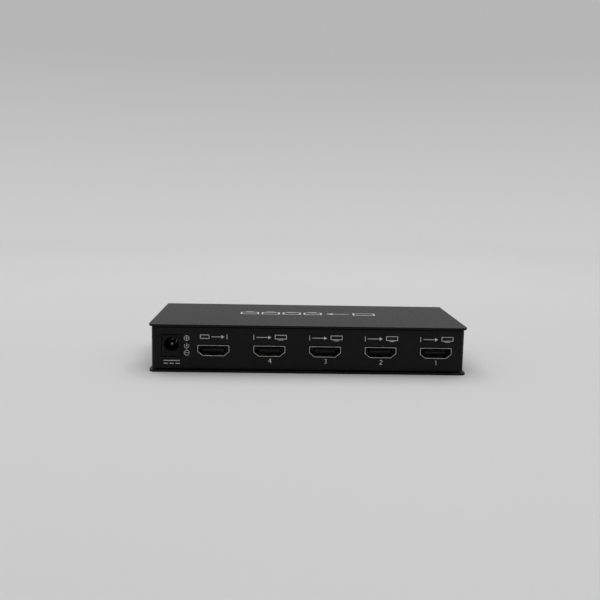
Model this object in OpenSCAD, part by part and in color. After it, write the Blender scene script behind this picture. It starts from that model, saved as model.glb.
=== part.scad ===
// Video splitter box: one input socket, four output sockets, power jack and status lamps.
// Millimetres, +Z up. Origin at the middle of the underside.
// The connector panel faces -Y and the lamp face faces +Y.

/* [Case] */
// Width of the folded outer wrap
case_w = 145; // [120:0.5:180]
// Depth of the outer wrap, from the lips to the lamp face
case_d = 65; // [58:0.5:100]
// Height of the outer wrap
case_h = 22; // [20.5:0.5:32]
// Thickness of the wrap's sheet
wrap_t = 1.0; // [0.8:0.1:1.4]
// Inner radius of the wrap's folds
wrap_fold_r = 0.3; // [0.2:0.1:1]
// Radius of the lips' corners, seen from above
lip_r = 2.8; // [1:0.1:6]
// How far the lips stand out past the panel and the side walls
lip_out = 1.1; // [0.4:0.1:2]

/* [Inner frame] */
// Thickness of the frame's sheet
frame_t = 1.0; // [0.8:0.1:1.4]
// Inner radius of the frame's upright folds
frame_fold_r = 1.0; // [0.4:0.1:3]
// Gap between the frame's edges and the top and bottom plates
frame_gap = 0.45; // [0.3:0.05:0.9]
// Gap between the side walls and the lamp face
frame_end_gap = 0.3; // [0.2:0.05:1]
// Length of a fixing tab along the side wall
tab_l = 11; // [9:0.5:16]
// Reach of a fixing tab, from the outside of the side wall
tab_reach = 11; // [10:0.5:16]

/* [Fixings] */
// Thread diameter of the case screws and board screws
screw_d = 2.5; // [2:0.1:3]
// Head diameter of a case screw
case_head_d = 4.6; // [4:0.1:5.5]
// Head diameter of a board screw
board_head_d = 4.8; // [4:0.1:6]
// Head height of a board screw
board_head_h = 1.7; // [1.2:0.1:2.4]
// Outer diameter of a standoff
post_d = 5.2; // [4.4:0.1:7]
// Height of a standoff above its tab
post_h = 2.5; // [1.8:0.1:4]
// Distance of a standoff from the outside of the side wall
post_in = 6.65; // [5.5:0.05:9]
// Distance of the front standoffs behind the connector panel
post_front = 19.65; // [18.5:0.05:26]
// Distance of the rear standoffs from the ends of the side walls
post_rear = 9.45; // [7:0.05:16]
// Radial clearance of a screw in its thread and of a standoff in its tab
thread_gap = 0.05; // [0.02:0.01:0.1]
// Radial clearance of a screw in a plain hole
hole_gap = 0.2; // [0.1:0.05:0.4]

/* [Main board] */
// Thickness of the circuit board
board_t = 1.6; // [1:0.1:2.4]
// Gap between the board and the side walls
board_side_gap = 1.15; // [0.5:0.05:3]
// Gap between the board and the connector panel
board_front_gap = 0.6; // [0.3:0.05:2]
// Gap between the board and the lamp face
board_rear_gap = 3.1; // [2.4:0.05:3.5]
// Clearance round each wire or leg in the board
wire_gap = 0.2; // [0.1:0.05:0.3]

/* [Video sockets] */
// Distance of the input socket from the case's left edge
socket_first_in = 29.2; // [26:0.1:34]
// Distance of the last output socket from the case's right edge
socket_last_in = 14.2; // [12:0.1:20]
// Height of the mouth's middle above the board
socket_lift = 3.9; // [3.4:0.05:5]
// Width of the mouth
mouth_w = 14.0; // [13:0.1:15]
// Height of the mouth
mouth_h = 4.55; // [4.2:0.05:5]
// Width of the mouth's narrow lower edge
mouth_low_w = 9.3; // [8:0.1:11]
// Height of the mouth's upright sides
mouth_side_h = 2.75; // [2:0.05:3.2]
// Corner radius of the mouth
mouth_r = 0.45; // [0.2:0.05:0.7]
// Thickness of the shell's sheet
shell_t = 0.3; // [0.2:0.05:0.4]
// Length of the shell
shell_l = 11.8; // [11:0.1:13]
// How far the shell stands out of the panel
shell_out = 0.2; // [0:0.05:0.6]
// Clearance between the shell and the panel's cut-out
panel_gap = 0.2; // [0.1:0.05:0.4]
// Depth of the mouth, to the face of the insert
mouth_depth = 8.9; // [8.4:0.1:9.6]
// Clearance of the insert in the shell
insert_gap = 0.05; // [0.02:0.01:0.1]
// Length of the insert's block behind the shell
insert_rear_l = 1.6; // [1:0.1:3]
// Width of the tongue
tongue_w = 10.2; // [9.8:0.1:11]
// Thickness of the tongue
tongue_t = 1.15; // [0.9:0.05:1.4]
// Distance of the tongue below the mouth's upper edge
tongue_drop = 1.6; // [1.4:0.05:2]
// Distance of the tongue's front edge behind the shell's rim
tongue_back = 1.5; // [0.5:0.1:2]
// Width of one contact
contact_w = 0.3; // [0.2:0.05:0.4]
// Thickness of one contact
contact_t = 0.13; // [0.08:0.01:0.2]
// Distance between neighbouring contacts of one row
contact_pitch = 1.0; // [0.9:0.05:1.02]
// Width of one leg of the shell
leg_w = 1.4; // [1:0.1:2]

/* [Power jack] */
// Distance of the jack from the case's left edge
jack_in = 10.3; // [9:0.1:13]
// Width of the jack's front
jack_w = 9.0; // [8.6:0.1:9.6]
// Height of the jack's front above its axis
jack_rise = 4.4; // [4.2:0.1:5]
// Depth of the jack's front below its axis
jack_drop = 5.6; // [5:0.1:5.7]
// Length of the jack
jack_l = 14.0; // [13:0.1:15]
// Depth of the jack's front block
jack_front_l = 3.4; // [2.5:0.1:4]
// Height of the jack's axis above the board
jack_axis_h = 6.5; // [6:0.1:7]
// Diameter of the plug's hole
jack_bore_d = 6.3; // [6:0.1:6.6]
// Depth of the plug's hole
jack_bore_l = 9.6; // [9:0.1:10.4]
// Diameter of the centre pin
jack_pin_d = 2.0; // [1.6:0.1:2.6]
// Distance of the pin's tip behind the jack's front
jack_pin_back = 1.2; // [0.6:0.1:2.5]
// Width of the sprung leaf
leaf_w = 2.6; // [2:0.1:3.2]
// Thickness of the sprung leaf
leaf_t = 0.3; // [0.2:0.05:0.4]
// Height of the leaf's crest inside the plug's hole
leaf_rise = 0.75; // [0.5:0.05:0.9]
// Clearance round the leaf in its channel
leaf_gap = 0.35; // [0.25:0.05:0.5]

/* [Lamps] */
// Diameter of a lamp
lamp_d = 3.0; // [2.8:0.1:3.4]
// Length of a lamp
lamp_l = 5.3; // [4.6:0.1:5.6]
// Height of the lamps above the board
lamp_lift = 7.3; // [5:0.1:9]
// Distance of the first status lamp from the case's right edge, seen from the connector panel
lamp_first_in = 39.1; // [30:0.1:42]
// Distance from one status lamp to the next
lamp_pitch = 12.65; // [8:0.05:13.5]
// Distance of the power lamp from the case's left edge
power_lamp_in = 14.65; // [12:0.05:20]
// Clearance of a lamp in its hole
lamp_gap = 0.1; // [0.05:0.05:0.3]
// How far a lamp's dome stands out of the lamp face
lamp_out = 1.0; // [0.4:0.1:1.5]

/* [Board parts] */
// Width of the splitter chip's body
chip_w = 14; // [10:0.5:16]
// Height of the splitter chip's body
chip_h = 1.4; // [1:0.1:2]
// Distance between the splitter chip's pins
chip_pitch = 0.8; // [0.5:0.05:0.8]
// Reach of the chips' pins
pin_reach = 1.0; // [0.8:0.1:1.4]
// Thickness of the chips' pins
pin_t = 0.15; // [0.1:0.01:0.2]
// Length of a memory chip
memory_l = 5; // [4:0.1:6]
// Width of a memory chip
memory_w = 4; // [3:0.1:5]
// Height of a memory chip
memory_h = 1.5; // [1:0.1:2]
// Distance between a memory chip's pins
memory_pitch = 1.27; // [0.6:0.01:1.3]
// Length of the voltage regulator
regulator_l = 6.5; // [5:0.1:8]
// Width of the voltage regulator
regulator_w = 3.5; // [3:0.1:5]
// Height of the voltage regulator
regulator_h = 1.6; // [1:0.1:2.4]
// Width of the power inductor
coil_w = 6.3; // [4:0.1:8]
// Height of the power inductor
coil_h = 3.0; // [2:0.1:5]
// Diameter of the supply capacitors
can_d = 6.3; // [4:0.1:7]
// Height of the supply capacitors
can_h = 5.4; // [4.5:0.1:8]
// Distance between the supply capacitors
can_pitch = 9; // [8:0.1:11]
// Height of the capacitors' square bases
can_base_h = 1.0; // [0.6:0.1:1.4]
// Length of the crystal's foot
crystal_l = 11.4; // [8:0.1:13]
// Width of the crystal's foot
crystal_w = 4.8; // [4:0.1:6]
// Height of the crystal
crystal_h = 3.5; // [2.5:0.1:5]
// Height of the crystal's foot
crystal_foot_h = 0.6; // [0.4:0.1:1]
// Length of a surge array
surge_l = 3; // [2:0.1:4]
// Width of a surge array
surge_w = 1.6; // [1:0.1:2]
// Height of a surge array
surge_h = 0.6; // [0.4:0.1:1]
// Length of a small resistor or capacitor
small_l = 1.6; // [1:0.1:2]
// Width of a small resistor or capacitor
small_w = 0.8; // [0.5:0.1:1.2]
// Height of a small resistor or capacitor
small_h = 0.5; // [0.3:0.1:0.8]
// Distance between small parts in a row
small_pitch = 2; // [1.6:0.1:2.4]
// Distance from one row of board parts to the next
row_pitch = 3; // [2.6:0.1:4]

/* [Hidden] */
$fn = 48;
overlap = 0.01;
SOCKETS = ["video_in", "video_out_4", "video_out_3", "video_out_2", "video_out_1"];
LAMPS = ["status_lamp_1", "status_lamp_2", "status_lamp_3", "status_lamp_4", "power_lamp"];

// Case faces and levels
half_w = case_w / 2;
front_y = -(case_d + lamp_out) / 2;
face_y = front_y + case_d;
panel_y = front_y + lip_out;
panel_in_y = panel_y + frame_t;
face_in_y = face_y - wrap_t;
frame_half_w = half_w - lip_out;
frame_in_w = frame_half_w - frame_t;
frame_end_y = face_in_y - frame_end_gap;
frame_z0 = wrap_t + frame_gap;
frame_z1 = case_h - wrap_t - frame_gap;
tab_top = wrap_t + frame_t;
tab_fold_z = tab_top + frame_fold_r;
tab_relief = 0.8;

// Fixings
post_x = frame_half_w - post_in;
post_step = 0.6;
post_shank_r = post_d / 2 - post_step;
post_ys = [panel_y + post_front, frame_end_y - post_rear];
screw_r = screw_d / 2;
thread_r = screw_r + thread_gap;
screw_hole_r = screw_r + hole_gap;
case_head_sink = 0.05;
case_slot = [case_head_d * 0.55, 0.5, 0.6];
board_slot_size = [board_head_d * 0.6, 0.6, 0.8];
case_screw_l = wrap_t + frame_t + post_h * 0.25;
board_screw_l = board_t + post_h * 0.5;

// Board
board_z = tab_top + post_h;
board_top = board_z + board_t;
board_half_w = frame_in_w - board_side_gap;
board_y0 = panel_in_y + board_front_gap;
board_y1 = face_in_y - board_rear_gap;
board_mid_y = (board_y0 + board_y1) / 2;
wire_below = 0.8;

// Sockets: the local origin is the middle of the mouth, at the rim, with the depth along +Y
socket_y = panel_y - shell_out;
socket_z = board_top + socket_lift;
socket_first_x = -half_w + socket_first_in;
socket_pitch = (case_w - socket_first_in - socket_last_in) / (len(SOCKETS) - 1);
socket_xs = [for (i = [0:len(SOCKETS) - 1]) socket_first_x + i * socket_pitch];
insert_end = shell_l + insert_rear_l;
tongue_top = mouth_h / 2 - tongue_drop;
tongue_bottom = tongue_top - tongue_t;
leg_ys = [shell_l * 0.27, shell_l * 0.81];
leg_x = mouth_w / 2 + shell_t / 2;
leg_low = -socket_lift - board_t - wire_below;
finger_w = 1.8;
finger_l = 5.2;
finger_slot = 0.3;
finger_y = 1.6;
finger_xs = [-2.7, 2.7];
finger_dip = 3;
finger_z = (mouth_h + shell_t) / 2;
leg_top = mouth_h / 2 - mouth_side_h / 2;
contact_in = 0.7;
contact_back = tongue_back + contact_in;
contact_drops = [1.0, 0.4];
contact_foot = 1.0;

// Jack: the local origin is on the axis at the front, with the depth along +Y
jack_x = -half_w + jack_in;
jack_z = board_top + jack_axis_h;
jack_shoulder = 0.5;
jack_step_y = frame_t + board_front_gap;
jack_pin_r = jack_pin_d / 2;
jack_shank_step = 0.2;
jack_shank_r = jack_pin_r + jack_shank_step;
jack_bore_r = jack_bore_d / 2;
jack_wall_r = jack_w / 2 - jack_shoulder;
jack_mouth_bevel = 0.4;
jack_rivet_h = 0.5;
leaf_part_gap = 0.15;
leaf_root_l = 1.05;
leaf_root_back = 1.4;
leaf_root_drop = 0.75;
leaf_crest_back = 0.8;
leaf_tip_l = 1.6;
leaf_tip_drop = 0.2;
leaf_root_y = jack_bore_l + leaf_root_back;
leaf_root_z = -jack_bore_r - leaf_root_drop;
leaf_crest_y = jack_front_l + leaf_crest_back;
leaf_crest_z = -jack_bore_r + leaf_rise;
leaf_tip_y = leaf_crest_y - leaf_tip_l;
leaf_tip_z = -jack_bore_r - leaf_tip_drop;
leaf_channel_y = leaf_tip_y - 2 * leaf_gap;
leaf_channel_low = leaf_tip_z - leaf_t - 2.5 * leaf_gap;
leaf_channel_w = leaf_w + 2 * leaf_gap;
terminal_t = 0.4;
terminal_w = 2.4;
terminal_low = -jack_axis_h - board_t - wire_below;
switch_y = jack_l * 0.53;

// Lamps: the local origin is the tip, with the base along -Y
lamp_z = board_top + lamp_lift;
lamp_y = face_y + lamp_out;
lamp_first_x = half_w - lamp_first_in;
status_count = len(LAMPS) - 1;
lamp_xs = concat([for (i = [0:status_count - 1]) lamp_first_x - i * lamp_pitch], [-half_w + power_lamp_in]);
lamp_flange_t = 1.0;
lamp_flange_out = 0.4;
lamp_flat_out = 0.15;
lamp_flange_r = lamp_d / 2 + lamp_flange_out;
lamp_flat = lamp_d / 2 + lamp_flat_out;
lead_w = 0.5;
lead_half_gap = 1.27;
lead_bend = 1.4;
lead_y = lamp_y - lamp_l - lead_bend;

// Board parts: places follow the sockets, the jack and the lamps
chip_pos = [socket_xs[2] - chip_w / 4, board_mid_y + chip_w / 4];
chip_lift = 0.1;
chip_pins = 16;
chip_mark_in = 1.5;
chip_mark_r = 0.6;
chip_mark_t = 0.15;
memory_places = [
    [socket_xs[1] + memory_l, board_mid_y - memory_w],
    [socket_xs[1] + memory_l, board_mid_y + 3 * memory_w],
    [socket_xs[3] - memory_l / 2, board_mid_y]];
regulator_pos = [jack_x + 2.7 * jack_w, board_mid_y - regulator_w / 2];
coil_pos = [jack_x + 1.35 * jack_w, board_mid_y - coil_w / 2];
can_count = 3;
can_first = [jack_x + 1.7 * jack_w, board_mid_y + 1.5 * can_d];
crystal_pos = [chip_pos[0] + 1.15 * chip_w, board_mid_y + 2.4 * crystal_w];
row_clear = 1;
surge_y = socket_y + insert_end + row_pitch + row_clear;
small_y = surge_y + row_pitch;
lamp_row_y = lead_y - row_pitch - row_clear;

// Colours
case_black = [0.06, 0.06, 0.065];
screw_black = [0.1, 0.1, 0.11];
board_green = [0.05, 0.25, 0.14];
plastic_black = [0.04, 0.04, 0.045];
shell_metal = [0.62, 0.58, 0.5];
contact_gold = [0.83, 0.68, 0.32];
tin = [0.72, 0.73, 0.75];
lamp_green = [0.1, 0.4, 0.2];
lamp_red = [0.6, 0.06, 0.05];

// Arc at the corner p of an outline, between its neighbours a and b
function corner_arc(a, p, b, r, steps) =
    let (
        u = (a - p) / norm(a - p),
        v = (b - p) / norm(b - p),
        half = acos(u * v) / 2,
        middle = p + (u + v) / norm(u + v) * r / sin(half),
        from = p + u * r / tan(half) - middle,
        to = p + v * r / tan(half) - middle,
        start = atan2(from[1], from[0]),
        turn = (atan2(to[1], to[0]) - start + 540) % 360 - 180)
    [for (i = [0:steps]) middle + r * [cos(start + turn * i / steps), sin(start + turn * i / steps)]];

// Outline with all its corners rounded
function rounded(points, r, steps = 4) =
    let (n = len(points))
    [for (i = [0:n - 1]) each corner_arc(points[(i + n - 1) % n], points[i], points[(i + 1) % n], r, steps)];

// D-shaped outline of the video mouth, moved outwards by grow
function mouth_outline(grow) =
    let (
        side_x = mouth_w / 2 + grow,
        top = mouth_h / 2 + grow,
        knee = mouth_h / 2 - mouth_side_h,
        lean = atan2(mouth_w / 2 - mouth_low_w / 2, knee + mouth_h / 2),
        knee_z = knee - grow * tan(lean / 2),
        low_x = mouth_low_w / 2 + grow * tan(45 - lean / 2),
        low = -mouth_h / 2 - grow)
    rounded([[-side_x, top], [-side_x, knee_z], [-low_x, low], [low_x, low], [side_x, knee_z], [side_x, top]],
        mouth_r + max(grow, -mouth_r / 2));

// Extrudes an outline drawn in X and Z along +Y
module along_y(l) {
    translate([0, l, 0]) rotate([90, 0, 0]) linear_extrude(l) children();
}

// Extrudes an outline drawn in Y and Z along X, centred
module along_x(w) {
    translate([-w / 2, 0, 0]) rotate([90, 0, 90]) linear_extrude(w) children();
}

// Box given by its low and high corners
module span(low, high) {
    translate(low) cube(high - low);
}

// Copies at the four standoffs
module at_posts() {
    for (x = [-post_x, post_x], y = post_ys)
        translate([x, y, 0]) children();
}

// Rectangle with two rounded corners at its +X end, from x0 to x1 and y0 to y1
module round_end(x0, x1, y0, y1, r) {
    translate([x0, y0]) square([x1 - x0 - r, y1 - y0]);
    translate([x0, y0 + r]) square([x1 - x0, y1 - y0 - 2 * r]);
    for (y = [y0 + r, y1 - r]) translate([x1 - r, y]) circle(r);
}

// Outer wrap: top plate, lamp face and bottom plate in one fold
module wrap_profile() {
    difference() {
        round_end(front_y, face_y, 0, case_h, wrap_t + wrap_fold_r);
        round_end(front_y - 1, face_in_y, wrap_t, case_h - wrap_t, wrap_fold_r);
    }
}

module outer_wrap() color(case_black)
    difference() {
        intersection() {
            along_x(case_w) wrap_profile();
            rotate([0, 0, -90]) translate([0, 0, -1]) linear_extrude(case_h + 2)
                round_end(-face_y - 1, -front_y, -half_w, half_w, lip_r);
        }
        for (x = lamp_xs)
            translate([x, face_in_y - 1, lamp_z]) rotate([-90, 0, 0])
                cylinder(r = lamp_d / 2 + lamp_gap, h = wrap_t + 2);
        at_posts() case_screw_seat();
    }

// Countersunk seat of a case screw in the bottom plate
module case_screw_seat() {
    head_r = case_head_d / 2 + thread_gap;
    translate([0, 0, -overlap]) cylinder(r = head_r, h = case_head_sink + 2 * overlap);
    translate([0, 0, case_head_sink])
        cylinder(r1 = head_r, r2 = screw_hole_r, h = wrap_t - case_head_sink + overlap);
}

// Inner frame: connector panel, side walls and fixing tabs in one fold
module frame_profile() {
    r = frame_t + frame_fold_r;
    rotate([0, 0, -90]) difference() {
        round_end(-frame_end_y, -panel_y, -frame_half_w, frame_half_w, r);
        round_end(-frame_end_y - 1, -panel_in_y, -frame_in_w, frame_in_w, frame_fold_r);
    }
}

// One fixing tab: an angle with a round fold, its foot pointing inwards along +X
module tab() {
    r = frame_t + frame_fold_r;
    translate([0, tab_l / 2, wrap_t]) rotate([90, 0, 0]) linear_extrude(tab_l) {
        translate([r, 0]) square([tab_reach - r, frame_t]);
        translate([0, r]) square([frame_t, r]);
        intersection() {
            square(r);
            translate([r, r]) difference() {
                circle(r);
                circle(frame_fold_r);
            }
        }
    }
}

// Notch in the side walls round a tab's fold, with a relief slot at each end
module tab_notch() {
    l = tab_l + 2 * tab_relief;
    translate([-frame_half_w - 1, -l / 2, 0]) cube([case_w, l, tab_fold_z]);
}

module inner_frame() color(case_black)
    difference() {
        union() {
            difference() {
                translate([0, 0, frame_z0]) linear_extrude(frame_z1 - frame_z0) frame_profile();
                for (y = post_ys) translate([0, y, 0]) tab_notch();
            }
            for (y = post_ys) {
                translate([-frame_half_w, y, 0]) tab();
                translate([frame_half_w, y, 0]) mirror([1, 0, 0]) tab();
            }
        }
        for (x = socket_xs)
            translate([x, panel_y - 1, socket_z]) along_y(frame_t + 2)
                polygon(mouth_outline(shell_t + panel_gap));
        at_jack() span(
            [-jack_w / 2 - panel_gap, -1, -jack_drop - panel_gap],
            [jack_w / 2 + panel_gap, frame_t + 1, jack_rise + panel_gap]);
        at_posts() cylinder(r = post_shank_r + thread_gap, h = tab_top + 1);
    }

// Press-in standoffs, threaded right through
module board_standoffs() color(tin)
    at_posts() difference() {
        union() {
            translate([0, 0, wrap_t]) cylinder(r = post_shank_r, h = frame_t + overlap);
            translate([0, 0, tab_top]) cylinder(r = post_d / 2, h = post_h);
        }
        cylinder(r = thread_r, h = board_z + 1);
    }

// One arm of a cross recess, of the given length, width and depth to each side
module cross_slot(size) {
    cube([size[0], size[1], 2 * size[2]], center = true);
}

// Flush screws that hold the wrap to the frame
module case_screws() color(screw_black)
    at_posts() difference() {
        union() {
            translate([0, 0, case_head_sink])
                cylinder(r1 = case_head_d / 2, r2 = screw_r, h = wrap_t - case_head_sink);
            translate([0, 0, case_head_sink]) cylinder(r = screw_r, h = case_screw_l - case_head_sink);
        }
        for (a = [0, 90])
            rotate([0, 0, a]) cross_slot(case_slot);
    }

// Screws that hold the board to the standoffs
module board_screws() color(tin)
    at_posts() translate([0, 0, board_top]) difference() {
        union() {
            cylinder(r = board_head_d / 2, h = board_head_h);
            translate([0, 0, -board_screw_l]) cylinder(r = screw_r, h = board_screw_l + overlap);
        }
        for (a = [0, 90])
            rotate([0, 0, a]) translate([0, 0, board_head_h]) cross_slot(board_slot_size);
    }

// Main board with its screw holes and the slots for legs, leads and terminals
module main_board() color(board_green)
    difference() {
        span([-board_half_w, board_y0, board_z], [board_half_w, board_y1, board_top]);
        at_posts() cylinder(r = screw_hole_r, h = board_top + 1);
        for (x = socket_xs, side = [-1, 1], y = leg_ys)
            board_slot(x + side * leg_x, socket_y + y, shell_t, leg_w);
        for (x = lamp_xs, side = [-1, 1])
            board_slot(x + side * lead_half_gap, lead_y, lead_w, lead_w);
        board_slot(jack_x, panel_y + jack_l + terminal_t / 2, terminal_w, terminal_t);
        board_slot(jack_x, panel_y + leaf_root_y + terminal_t / 2, terminal_w, terminal_t);
        board_slot(jack_x + jack_w / 2 + terminal_t / 2, panel_y + switch_y, terminal_t, terminal_w);
    }

// Slot through the board round a wire of the given size
module board_slot(x, y, w, d) {
    translate([x, y, board_z + board_t / 2])
        cube([w + 2 * wire_gap, d + 2 * wire_gap, board_t + 1], center = true);
}

// Places one socket's pieces at the panel
module at_socket(i) {
    translate([socket_xs[i], socket_y, socket_z]) children();
}

// Shell: a folded D-shaped tube with two spring fingers above and two below, and four board legs
module socket_shell() color(shell_metal) {
    difference() {
        along_y(shell_l) polygon(mouth_outline(shell_t));
        translate([0, -1, 0]) along_y(shell_l + 2) polygon(mouth_outline(0));
        for (x = finger_xs, side = [-1, 1])
            translate([x, finger_y + finger_l / 2, side * finger_z])
                cube([finger_w + 2 * finger_slot, finger_l, 2 * shell_t], center = true);
    }
    for (x = finger_xs, side = [-1, 1])
        translate([x, finger_y + finger_l, side * finger_z]) rotate([side * finger_dip, 0, 0])
            span([-finger_w / 2, finger_slot - finger_l, -shell_t / 2],
                [finger_w / 2, finger_slot, shell_t / 2]);
    for (side = [-1, 1], y = leg_ys)
        translate([side * leg_x, y, 0])
            span([-shell_t / 2, -leg_w / 2, leg_low], [shell_t / 2, leg_w / 2, leg_top]);
}

// Insert: a moulded block that fills the back of the shell, with the tongue in front
module socket_insert() color(plastic_black)
    difference() {
        union() {
            translate([0, mouth_depth, 0]) along_y(insert_end - mouth_depth)
                polygon(mouth_outline(-insert_gap));
            span([-mouth_low_w / 2, shell_l, -socket_lift], [mouth_low_w / 2, insert_end, 0]);
            span([-tongue_w / 2, tongue_back, tongue_bottom],
                [tongue_w / 2, mouth_depth + overlap, tongue_top]);
        }
        for (z = [tongue_top, tongue_bottom - contact_t - insert_gap])
            span([-tongue_w / 2, mouth_depth - overlap, z],
                [tongue_w / 2, insert_end + 1, z + contact_t + insert_gap]);
    }

// One contact: along the tongue at height z, through the insert, down its back and out along the board
module contact(z, drop_y) {
    low = -socket_lift;
    y1 = insert_end + drop_y;
    foot = y1 + contact_foot;
    along_x(contact_w) polygon([
        [contact_back, z], [contact_back, z + contact_t], [y1, z + contact_t], [y1, low + contact_t],
        [foot, low + contact_t], [foot, low], [y1 - contact_t, low], [y1 - contact_t, z]]);
}

// Contacts: ten above the tongue and nine below, staggered by half a pitch
module socket_contacts() color(contact_gold) {
    for (i = [-4.5:4.5])
        translate([i * contact_pitch, 0, 0]) contact(tongue_top, contact_drops[0]);
    for (i = [-4:4])
        translate([i * contact_pitch, 0, 0]) contact(tongue_bottom - contact_t, contact_drops[1]);
}

// Places the jack's pieces at the panel
module at_jack() {
    translate([jack_x, panel_y, jack_z]) children();
}

// Jack body: a square front, an arched barrel behind it and the hole for the plug
module power_jack_body() color(plastic_black)
    at_jack() difference() {
        union() {
            span([-jack_w / 2, 0, -jack_drop], [jack_w / 2, jack_front_l, jack_rise]);
            translate([0, jack_step_y, 0]) along_y(jack_l - jack_step_y) {
                circle(jack_wall_r);
                translate([-jack_wall_r, -jack_axis_h]) square([2 * jack_wall_r, jack_axis_h]);
            }
        }
        translate([0, -1, 0]) rotate([-90, 0, 0]) cylinder(r = jack_bore_r, h = jack_bore_l + 1);
        rotate([-90, 0, 0]) translate([0, 0, -overlap])
            cylinder(r1 = jack_bore_r + jack_mouth_bevel, r2 = jack_bore_r, h = jack_mouth_bevel);
        rotate([-90, 0, 0]) cylinder(r = jack_shank_r + thread_gap, h = jack_l + 1);
        span([-leaf_channel_w / 2, leaf_channel_y, leaf_channel_low],
            [leaf_channel_w / 2, leaf_root_y, -jack_bore_r / 2]);
        span([-terminal_w / 2 - wire_gap, leaf_root_y - overlap, -jack_axis_h - 1],
            [terminal_w / 2 + wire_gap, leaf_root_y + terminal_t + wire_gap, leaf_root_z + 2 * leaf_t]);
    }

// Centre pin with its round tip, a thicker shank in the jack's back wall, riveted head and board terminal
module power_jack_pin() color(tin)
    at_jack() {
        tip = jack_pin_back + jack_pin_r;
        translate([0, tip, 0]) sphere(jack_pin_r);
        rotate([-90, 0, 0]) translate([0, 0, tip]) cylinder(r = jack_pin_r, h = jack_bore_l - tip);
        rotate([-90, 0, 0]) translate([0, 0, jack_bore_l])
            cylinder(r = jack_shank_r, h = jack_l - jack_bore_l + overlap);
        span([-terminal_w / 2, jack_l, terminal_low],
            [terminal_w / 2, jack_l + terminal_t, terminal_w * 0.7]);
        translate([0, jack_l + terminal_t - overlap, 0]) rotate([-90, 0, 0])
            cylinder(r = jack_shank_r, h = jack_rivet_h);
    }

// Sprung leaf: rises from its root to a crest inside the plug's hole, then falls to its tip
module power_jack_leaf() color(contact_gold)
    at_jack() along_x(leaf_w) {
        root_y = leaf_root_y - leaf_part_gap;
        bend_y = root_y - leaf_root_l;
        polygon([
            [root_y, leaf_root_z], [root_y, leaf_root_z + leaf_t], [bend_y, leaf_root_z + leaf_t],
            [leaf_crest_y, leaf_crest_z], [leaf_tip_y, leaf_tip_z], [leaf_tip_y, leaf_tip_z - leaf_t],
            [leaf_crest_y, leaf_crest_z - leaf_t * 1.1], [bend_y, leaf_root_z]]);
    }

// Fixed terminals of the leaf and of the switch contact
module power_jack_terminals() color(tin)
    at_jack() {
        span([-terminal_w / 2, leaf_root_y, terminal_low],
            [terminal_w / 2, leaf_root_y + terminal_t, leaf_root_z + leaf_t]);
        translate([jack_wall_r, switch_y, 0]) {
            span([0, -terminal_w / 2, -terminal_w * 0.8],
                [terminal_t + jack_shoulder, terminal_w / 2, -terminal_w * 0.4]);
            span([jack_shoulder, -terminal_w / 2, terminal_low],
                [jack_shoulder + terminal_t, terminal_w / 2, -terminal_w * 0.4]);
        }
    }

// Lamp: domed lens with a flange at its base
module lamp(tint) color(tint)
    translate([0, -lamp_l, 0]) rotate([-90, 0, 0]) {
        r = lamp_d / 2;
        difference() {
            cylinder(r = lamp_flange_r, h = lamp_flange_t);
            translate([lamp_flat, -lamp_d, -1]) cube([lamp_d, 2 * lamp_d, lamp_flange_t + 2]);
        }
        cylinder(r = r, h = lamp_l - r);
        translate([0, 0, lamp_l - r]) sphere(r);
    }

// Lamp leads: two wires to each lamp, bent down into the board
module lamp_leads() color(tin)
    for (x = lamp_xs, side = [-1, 1])
        translate([x + side * lead_half_gap, lead_y, 0]) along_x(lead_w) polygon([
            [-lead_w / 2, board_z - wire_below], [lead_w / 2, board_z - wire_below],
            [lead_w / 2, lamp_z - lead_w / 2], [lead_bend, lamp_z - lead_w / 2],
            [lead_bend, lamp_z + lead_w / 2], [-lead_w / 2, lamp_z + lead_w / 2]]);

// Splitter chip: a flat square package with a row of pins on each side
module at_chip() {
    translate([chip_pos[0], chip_pos[1], board_top]) children();
}

module splitter_chip() color(plastic_black)
    at_chip() difference() {
        chip_body(chip_w, chip_w, chip_h);
        translate([chip_mark_in - chip_w / 2, chip_w / 2 - chip_mark_in, chip_lift + chip_h - chip_mark_t])
            cylinder(r = chip_mark_r, h = 1);
    }

module splitter_chip_pins() color(tin)
    at_chip() for (a = [0:90:270], i = [0:chip_pins - 1])
        rotate([0, 0, a]) translate([(i - (chip_pins - 1) / 2) * chip_pitch, chip_w / 2, 0]) gull_pin(chip_h);

// Flat package centred on its place, lifted off the board by its pins
module chip_body(l, w, h) {
    translate([-l / 2, -w / 2, chip_lift]) cube([l, w, h]);
}

// Pin bent down from the middle of a chip's side to the board, reaching out along +Y
module gull_pin(body_h) {
    z = chip_lift + body_h / 2 - pin_t / 2;
    knee = pin_reach * 0.4;
    along_x(2 * pin_t) polygon([
        [0, z], [0, z + pin_t], [knee, z + pin_t], [knee, pin_t],
        [pin_reach, pin_t], [pin_reach, 0], [knee - pin_t, 0], [knee - pin_t, z]]);
}

// Memory chips: small packages with four pins on each long side
module memory_chips() color(plastic_black)
    for (p = memory_places) translate([p[0], p[1], board_top]) {
        chip_body(memory_l, memory_w, memory_h);
        color(tin) for (a = [0, 180], i = [-1.5:1.5])
            rotate([0, 0, a]) translate([i * memory_pitch, memory_w / 2, 0]) gull_pin(memory_h);
    }

// Voltage regulator: a small flat package with a wide tab on one side and three pins on the other
module voltage_regulator() color(plastic_black)
    translate([regulator_pos[0], regulator_pos[1], board_top]) {
        half = regulator_w / 2;
        leg = regulator_l / 9;
        chip_body(regulator_l, regulator_w, regulator_h);
        color(tin) span([-regulator_l / 4, half - overlap, 0], [regulator_l / 4, regulator_w, 2 * pin_t]);
        color(tin) for (i = [-1:1])
            span([i * regulator_l * 0.35 - leg / 2, -regulator_w, 0],
                [i * regulator_l * 0.35 + leg / 2, overlap - half, 2 * pin_t]);
    }

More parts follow.
